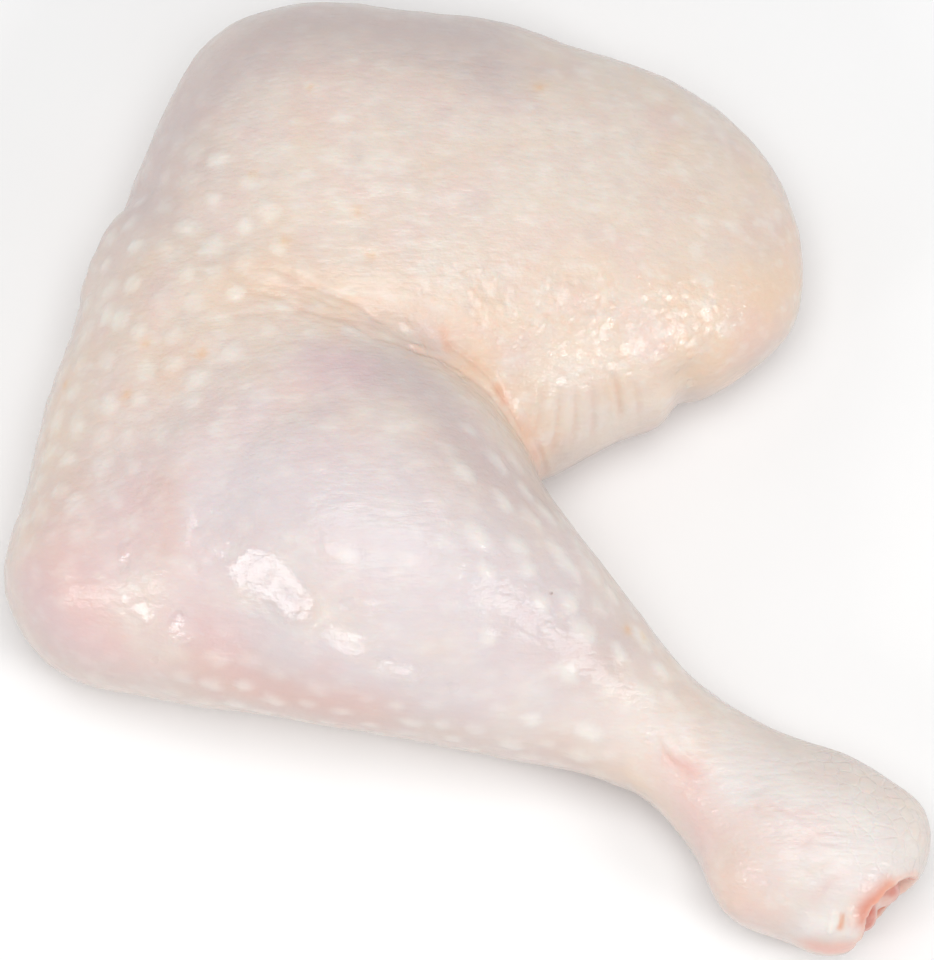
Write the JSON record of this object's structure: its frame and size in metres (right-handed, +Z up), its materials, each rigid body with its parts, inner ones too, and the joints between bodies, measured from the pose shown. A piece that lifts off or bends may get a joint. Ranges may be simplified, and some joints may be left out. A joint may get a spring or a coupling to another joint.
{
  "type": "raw chicken leg quarter",
  "caption": "Raw chicken thigh and drumstick in one skin, bent at the knee, lying skin side up, with the bone's end showing at the cut hock.",
  "frame": {"origin": "the middle of the object's box, on the plane that it lies on", "axes": "+X from the knee towards the hock, +Y from the drumstick towards the thigh, +Z up"},
  "size_m": [0.1384, 0.1502, 0.0455],
  "materials": {
    "raw_skin": "moist, pale cream to pink skin with small follicle bumps",
    "joint_cartilage": "wet, pearly cartilage over red-pink bone"
  },
  "bodies": {
    "root": {"leg": "raw_skin", "joint_end": "joint_cartilage"}
  },
  "joints": []
}
